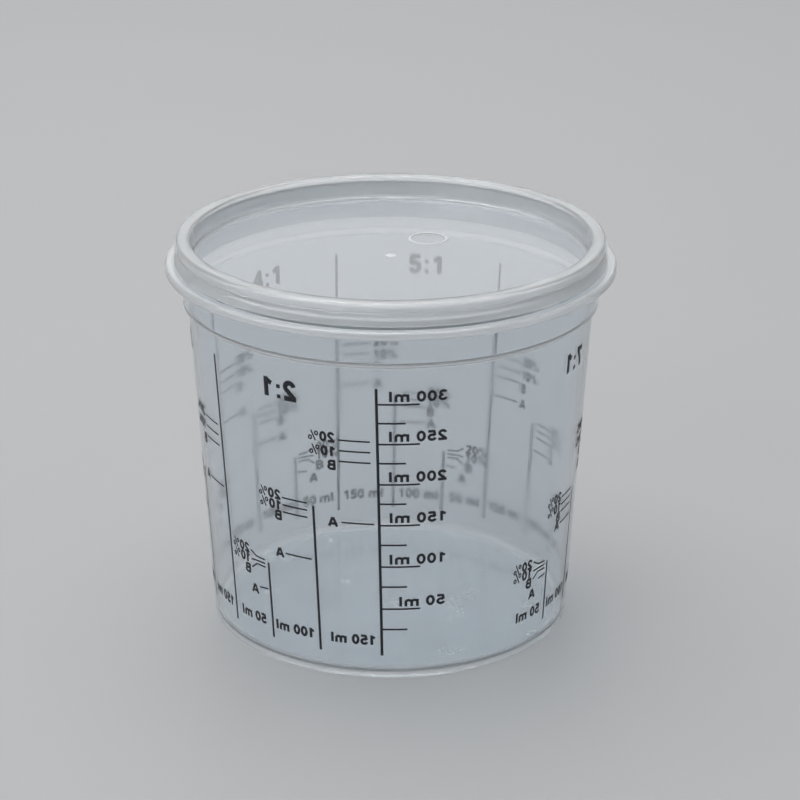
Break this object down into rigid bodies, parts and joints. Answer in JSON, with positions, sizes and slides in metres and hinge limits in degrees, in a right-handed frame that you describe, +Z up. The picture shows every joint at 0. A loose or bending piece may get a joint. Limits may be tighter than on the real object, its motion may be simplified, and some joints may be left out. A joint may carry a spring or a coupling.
{
  "type": "resin mixing cup",
  "caption": "Milky clear plastic cup for measuring and mixing resin or paint, with printed volume and mixing ratio scales, a stacking step, a flange and a press-fit lid with a sunk panel.",
  "frame": {"origin": "centre of the underside of the cup's foot ring, on the surface that it stands on", "axes": "+Z up along the axis of cup and lid; -Y is the front, where the millilitre scale is printed; +X is to the right seen from the front"},
  "size_m": [0.0974, 0.0974, 0.0867],
  "materials": {
    "cup_plastic": "milky clear polypropylene, glossy, with faint flow marks and fine scratches",
    "lid_plastic": "milky clear polypropylene, glossy panel, slightly cloudier than the cup",
    "scale_ink": "thin black pad-printed ink on the cup's wall"
  },
  "bodies": {
    "cup": {"cup": "cup_plastic"},
    "lid": {"lid": "lid_plastic"}
  },
  "joints": [
    {"name": "lid_lift", "type": "slide", "parent": "cup", "child": "lid", "axis": [0, 0, 1], "range_m": [0, 0.06]}
  ]
}
